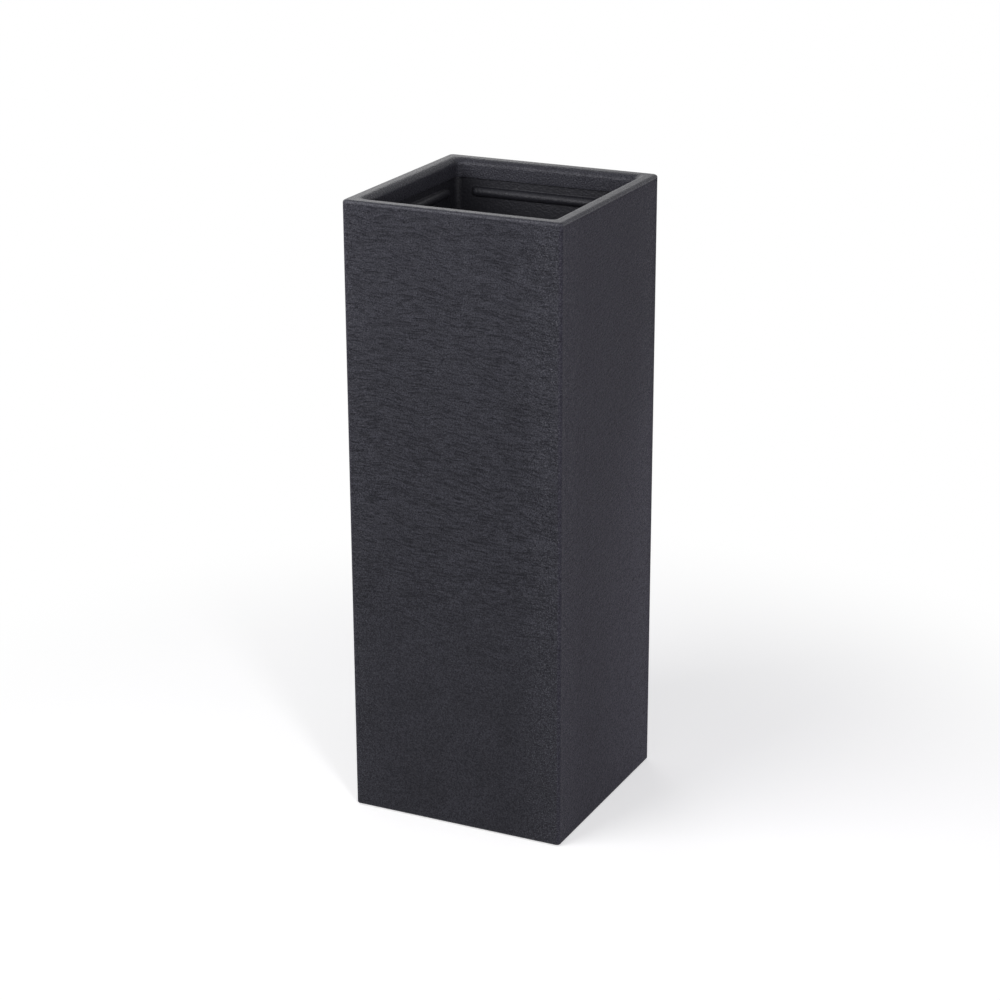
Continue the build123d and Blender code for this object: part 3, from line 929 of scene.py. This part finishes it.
@dataclass
class InnerLiner:
    """The liner: planting chamber, ledge, lower chamber, floor with its drain, and four ribs."""

    top: float
    base: float
    lip_half: float
    mouth_half: float
    planting_low_half: float = 126.5
    lower_top_half: float = 114.5
    lower_half: float = 113.0
    wall: float = 3.5
    setback: float = 5.0
    drop: float = 10.0
    corner: float = 9.0
    ledge: float = 372.0
    ledge_round: float = 2.0
    floor: float = 24.0
    floor_thickness: float = 4.0
    floor_round: float = 5.0
    floor_ring: float = 70.0
    under_ring: float = 45.0
    lip_thickness: float = 4.0
    upstand_wall: float = 4.0
    sump_radius: float = 24.0
    sump_depth: float = 1.0
    drain_radius: float = 11.0
    drain_middle: float = 14.0
    spout_wall: float = 3.0
    rib_drop: float = 42.3
    rib_reach: float = 6.3
    rib_length: float = 212.0
    rib_flare: float = 1.4
    rib_sink: float = 0.05
    rib_end_columns: int = 30
    rib_run_columns: int = 60
    dome_start: float = 12.0
    pieces: list[bpy.types.Object] = field(default_factory=list)

    @property
    def lip_top(self) -> float:
        """Height where the planting wall starts, below the rim."""
        return self.top - self.drop

    @property
    def planting_top_half(self) -> float:
        """Half width of the planting chamber at the lip."""
        return self.mouth_half + self.setback

    def planting_half(self, z: float) -> float:
        """Half width of the planting chamber at a height."""
        share = (z - self.ledge) / (self.lip_top - self.ledge)
        return self.planting_low_half + (self.planting_top_half - self.planting_low_half) * share

    def chambers(self) -> bpy.types.Object:
        """The whole liner as one closed section carried round.

        The section goes from the lip over the planting wall, the ledge, the lower wall and the
        floor, as rounded squares, which blend to circles at the sump, down the drain and back
        outside: spout, underside, outer walls and the lip's underside.

        Returns:
            The piece.
        """
        mouth, lip_top, ledge, floor = self.planting_top_half, self.lip_top, self.ledge, self.floor
        upstand, lip_inner = self.top - self.wall, self.lip_half - self.upstand_wall
        planting, lower_top, lower = self.planting_low_half, self.lower_top_half, self.lower_half
        ledge_edge = (lower_top + self.ledge_round, ledge - self.ledge_round)
        floor_edge = (lower - self.floor_round, floor + self.floor_round)
        square = np.concatenate(
            [
                [[lip_inner, upstand], [lip_inner, lip_top], [mouth, lip_top]],
                line((mouth, lip_top), (planting, ledge), 30),
                [[planting, ledge]],
                line((planting, ledge), (ledge_edge[0], ledge), 2),
                arc(ledge_edge, self.ledge_round, 90.0, 180.0, 7),
                line((lower_top, ledge_edge[1]), (lower, floor_edge[1]), 18),
                arc(floor_edge, self.floor_round, 0.0, -90.0, 8),
            ]
        )
        spout = self.drain_radius + self.spout_wall
        low = floor - self.floor_thickness
        sump_floor = floor - self.sump_depth
        rings = np.array(
            [
                [self.floor_ring, floor],
                [self.sump_radius, floor],
                [self.sump_radius, sump_floor],
                [self.drain_radius, sump_floor],
                [self.drain_radius, self.drain_middle],
                [self.drain_radius, self.base],
                [spout, self.base],
                [spout, low],
                [self.under_ring, low],
            ]
        )
        under_ledge, under_lip = ledge - self.wall, lip_top - self.lip_thickness
        planting, lower_top, lower, mouth = (
            half + self.wall for half in (planting, lower_top, lower, mouth)
        )
        back = np.concatenate(
            [
                [[lower, low]],
                line((lower, low), (lower_top, under_ledge), 6),
                [[lower_top, under_ledge], [planting, under_ledge]],
                line((planting, under_ledge), (mouth, under_lip), 6),
                [[mouth, under_lip], [self.lip_half, under_lip], [self.lip_half, upstand]],
                [[lip_inner, upstand]],
            ]
        )
        section = np.concatenate([square, rings, back])
        roundness = np.zeros(len(section))
        roundness[len(square) : len(square) + len(rings)] = 1.0
        corner = np.full(len(section), self.corner)
        return swept_square("liner_chambers", section, corner, roundness, SquareLoop(34, 9))

    def rib(self, side: Side) -> bpy.types.Object:
        """One half-round rib with round ends, flared where it meets the wall.

        Round the rib's outline, a stadium, runs one parameter, and from the wall to the crest
        runs the other, q from 0 to 90 degrees: the point lies (1 - cos q) of the radius in from
        the outline and sin q of the reach off the wall, and the first rows widen by a quarter
        circle of the flare.

        Args:
            side: which wall.

        Returns:
            The piece.
        """
        middle = self.top - self.rib_drop
        wall = self.planting_half(middle)
        draft = (self.planting_top_half - self.planting_low_half) / (self.lip_top - self.ledge)
        radius = self.rib_reach
        straight = self.rib_length / 2 - radius
        around = self.rib_end_columns
        a = np.linspace(-np.pi / 2, np.pi / 2, around)
        run = np.linspace(-straight, straight, self.rib_run_columns)[1:-1]
        mid_t = np.concatenate([np.full(around, straight), run[::-1], np.full(around, -straight), run])
        out_t = np.concatenate([np.cos(a), 0 * run, -np.cos(a), 0 * run])
        out_z = np.concatenate([np.sin(a), 1 + 0 * run, -np.sin(a), -1 + 0 * run])
        f = self.rib_flare
        q = np.radians(np.linspace(0.0, 90.0, 7))[:-1]
        p = np.radians(np.linspace(self.dome_start, 90.0, 16))
        r = np.concatenate([radius + f * (1 - np.sin(q)), radius * np.cos(p)])
        h = np.concatenate([f * (1 - np.cos(q)) - self.rib_sink, radius * np.sin(p)])
        t = mid_t[None, :] + out_t[None, :] * r[:, None]
        z = out_z[None, :] * r[:, None]
        n = wall + draft * z - h[:, None]
        x, y = side.turned(n, t)
        points = np.stack([x, y, middle + z], axis=-1)
        quads = grid_faces(len(r), len(mid_t), closed=True)[:, ::-1]
        return build_mesh(f"liner_rib_{side.name.lower()}", points.reshape(-1, 3), quads)

    def build(self, finish: bpy.types.Material) -> None:
        """Makes the chambers and the ribs, and puts them in the liner's place.

        Args:
            finish: material of the liner.
        """
        self.pieces = [self.chambers(), *(self.rib(side) for side in Side)]
        for piece in self.pieces:
            piece.data.materials.append(finish)
            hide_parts("inner_liner")
            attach(piece, BODY)
            LOG.info("%s: %d faces", piece.name, len(piece.data.polygons))


# Loose pieces and fittings


class Fittings:
    """The pieces that keep their own solids: shelf, plug, seal, base plate, screws and feet."""

    finishes: dict[str, MouldedFinish] = {
        "planting_shelf": MouldedFinish(
            name="shelf_plastic", base=grey(0.012, 0.013), pale=grey(0.018, 0.019), roughness=0.5
        ),
        "drain_plug": MouldedFinish(
            name="plug_plastic", base=grey(0.010, 0.011), pale=grey(0.015, 0.016), roughness=0.42
        ),
        "plug_seal": MouldedFinish(
            name="seal_rubber",
            base=grey(0.008),
            pale=grey(0.013),
            worn=grey(0.03),
            roughness=0.8,
            specular=0.25,
        ),
        "base_plate": MouldedFinish(
            name="base_plastic", base=grey(0.011, 0.012), pale=grey(0.017, 0.018), roughness=0.6
        ),
        "foot": MouldedFinish(
            name="foot_rubber", base=grey(0.010), pale=grey(0.016), roughness=0.85, specular=0.2
        ),
        "base_screw": MouldedFinish(
            name="screw_zinc",
            base=(0.40, 0.41, 0.43, 1.0),
            pale=(0.52, 0.53, 0.55, 1.0),
            worn=grey(0.70),
            roughness=0.34,
            specular=0.5,
            metallic=1.0,
            grain_depth=0.00003,
            grain_size=0.4,
            dust=0.0,
        ),
    }

    def build(self, nodes: dict[str, bpy.types.Object], effects: SharedEffects) -> None:
        """Gives each solid its finish.

        Args:
            nodes: the frame's solids by name.
            effects: the shared node groups.
        """
        made = {key: finish.material(effects) for key, finish in self.finishes.items()}
        for name, solid in nodes.items():
            key = next((k for k in made if name.startswith(k)), None)
            if key is None:
                continue
            solid.data.materials.clear()
            solid.data.materials.append(made[key])
            LOG.info("%s: %s", name, made[key].name)


# Studio


@dataclass(frozen=True)
class Lamp:
    """One soft rectangular lamp: its place and size in metres, its aim, watts and colour."""

    name: str
    place: Triple
    aim: Triple
    size: Pair
    power: float
    colour: Triple = (1.0, 0.99, 0.985)

    def add(self) -> None:
        """Puts the lamp in the scene, facing its aim."""
        data = bpy.data.lights.new(self.name, "AREA")
        data.shape = "RECTANGLE"
        data.size, data.size_y = self.size
        data.energy = self.power
        data.color = self.colour
        made = bpy.data.objects.new(self.name, data)
        made.location = self.place
        made.rotation_euler = (Vector(self.aim) - Vector(self.place)).to_track_quat("-Z", "Y").to_euler()
        bpy.context.scene.collection.objects.link(made)


@dataclass(frozen=True)
class Studio:
    """Pale floor, white surroundings, soft lamps and the camera."""

    azimuth: float = 0.45079
    elevation: float = 0.34048
    distance: float = 3.36091
    target: Triple = (-0.00577, 0.0, 0.39276)
    roll: float = -0.00377
    lens: float = 95.0
    sensor: float = 36.0
    view_reach: float = 50.0
    world_colour: Colour = (0.86, 0.87, 0.9, 1.0)
    world_strength: float = 0.3
    floor_half: float = 9.0
    floor_tones: tuple[Colour, Colour] = ((0.80, 0.80, 0.81, 1.0), (0.84, 0.84, 0.84, 1.0))
    floor_glow: float = 0.45
    shadow_reach: Pair = (0.35, 1.0)
    lamps: tuple[Lamp, ...] = (
        Lamp("front_top", (-0.5, -0.9, 1.15), (0.0, 0.0, 0.75), (0.9, 0.35), 9.6),
        Lamp("front_low", (-0.8, -2.2, 0.5), (0.0, 0.0, 0.3), (1.2, 0.8), 6.5),
        Lamp("corner", (1.3, -1.5, 1.2), (0.14, -0.14, 0.5), (0.25, 0.6), 13.6),
        Lamp("right", (1.8, 0.0, 0.6), (0.0, 0.0, 0.4), (1.0, 1.0), 3.9, (0.92, 0.84, 1.0)),
        Lamp("back_left", (-1.0, 1.4, 1.6), (0.0, 0.0, 0.6), (0.8, 0.8), 3.8),
    )

    def camera(self) -> None:
        """Camera at the photograph's place: azimuth from the front, elevation, distance, roll."""
        el, az = self.elevation, self.azimuth
        back = Vector((math.sin(az) * math.cos(el), -math.cos(az) * math.cos(el), math.sin(el)))
        level = Vector((0.0, 0.0, 1.0)).cross(back).normalized()
        up = back.cross(level)
        x = math.cos(self.roll) * level + math.sin(self.roll) * up
        y = -math.sin(self.roll) * level + math.cos(self.roll) * up
        data = bpy.data.cameras.new("camera")
        data.sensor_width = self.sensor
        data.sensor_fit = "HORIZONTAL"
        data.lens = self.lens
        data.clip_end = self.view_reach
        made = bpy.data.objects.new("camera", data)
        turn = Matrix((x, y, back)).transposed().to_4x4()
        made.matrix_world = Matrix.Translation(Vector(self.target) + back * self.distance) @ turn
        bpy.context.scene.collection.objects.link(made)
        bpy.context.scene.camera = made

    def seen_directly(self, graph: Graph) -> Socket:
        """1 for camera, glossy and transmission rays, 0 for the rays that light things.

        Args:
            graph: graph of the world or of the floor's material.

        Returns:
            The socket.
        """
        path = graph.node("ShaderNodeLightPath")
        seen = graph.math("MAXIMUM", path.outputs["Is Camera Ray"], path.outputs["Is Transmission Ray"])
        return graph.math("MAXIMUM", seen, path.outputs["Is Glossy Ray"])

    def surroundings(self) -> None:
        """White for the camera, for gloss and through glass, and a plain pale grey otherwise."""
        world = bpy.data.worlds.new("studio")
        bpy.context.scene.world = world
        world.use_nodes = True
        graph = Graph(world.node_tree)
        seen = self.seen_directly(graph)
        links = {"Color": self.world_colour, "Strength": self.world_strength}
        plain = graph.node("ShaderNodeBackground", links)
        white = graph.node("ShaderNodeBackground", {"Color": WHITE, "Strength": 1.0})
        both = graph.node("ShaderNodeMixShader", {0: seen, 1: plain.outputs[0], 2: white.outputs[0]})
        graph.node("ShaderNodeOutputWorld", {"Surface": both.outputs[0]})

    def floor(self) -> None:
        """Pale square floor, which to the camera turns white away from the planter's shadow."""
        half = self.floor_half / MM
        corners = np.array([[-half, -half, 0.0], [half, -half, 0.0], [half, half, 0.0], [-half, half, 0.0]])
        plane = build_mesh("floor", corners, np.array([[0, 1, 2, 3]]))
        material = bpy.data.materials.new("pale_floor")
        material.use_nodes = True
        graph = Graph(material.node_tree)
        place = graph.place()
        tone = graph.mix(graph.noise(place, 3.0, 4.0), *self.floor_tones)
        plain = graph.node("ShaderNodeBsdfDiffuse", {"Color": tone})
        glow = graph.node("ShaderNodeEmission", {"Color": WHITE, "Strength": self.floor_glow})
        lit = graph.node("ShaderNodeAddShader", {0: plain.outputs[0], 1: glow.outputs[0]})
        white = graph.node("ShaderNodeEmission", {"Color": WHITE, "Strength": 1.0})
        far = graph.node("ShaderNodeVectorMath", {0: place}, operation="LENGTH").outputs["Value"]
        away = graph.span(far, *self.shadow_reach)
        shown = graph.node("ShaderNodeMixShader", {0: away, 1: lit.outputs[0], 2: white.outputs[0]})
        seen = self.seen_directly(graph)
        both = graph.node("ShaderNodeMixShader", {0: seen, 1: plain.outputs[0], 2: shown.outputs[0]})
        graph.node("ShaderNodeOutputMaterial", {"Surface": both.outputs[0]})
        plane.data.materials.append(material)

    def build(self) -> None:
        """Sets up the view, the camera, the lamps, the world and the floor."""
        bpy.context.scene.view_settings.view_transform = "Standard"
        self.surroundings()
        self.floor()
        for lamp in self.lamps:
            lamp.add()
        self.camera()


def main() -> None:
    """Builds the planter and its studio."""
    logging.basicConfig(level=logging.INFO, format="%(name)s: %(message)s")
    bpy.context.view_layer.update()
    effects = SharedEffects()
    slate = SlateFinish()
    # Painted light: the rim is the faces' plastic, given paler base and pale colours for the light its top
    # catches from above.
    rim = SlateFinish(
        name="rim_plastic_painted_light",
        base=(0.042, 0.0422, 0.053, 1.0),
        pale=(0.078, 0.0783, 0.094, 1.0),
        grain_depth=0.0006,
        streaked=False,
        roughness=0.38,
        specular=0.15,
    )
    # Painted shade: the liner is the same plastic, given darker base and pale colours for the shade inside
    # the planter.
    liner = SlateFinish(
        name="liner_plastic",
        base=(0.015, 0.0151, 0.0195, 1.0),
        pale=(0.027, 0.0272, 0.034, 1.0),
        streaked=False,
        roughness=0.5,
        specular=0.3,
        wear=0.3,
    )
    low, high = (np.array(corner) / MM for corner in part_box("outer_shell"))
    shell = OuterShell(top=high[2], base=low[2], top_half=high[0])
    shell.build(slate.material(effects), rim.material(effects))
    liner_low, liner_high = (np.array(corner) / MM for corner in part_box("inner_liner"))
    inside = InnerLiner(
        top=high[2], base=liner_low[2], lip_half=liner_high[0], mouth_half=shell.mouth_half
    )
    inside.build(liner.material(effects))
    Fittings().build(frame["nodes"], effects)
    Studio().build()


if __name__ == "__main__":
    main()
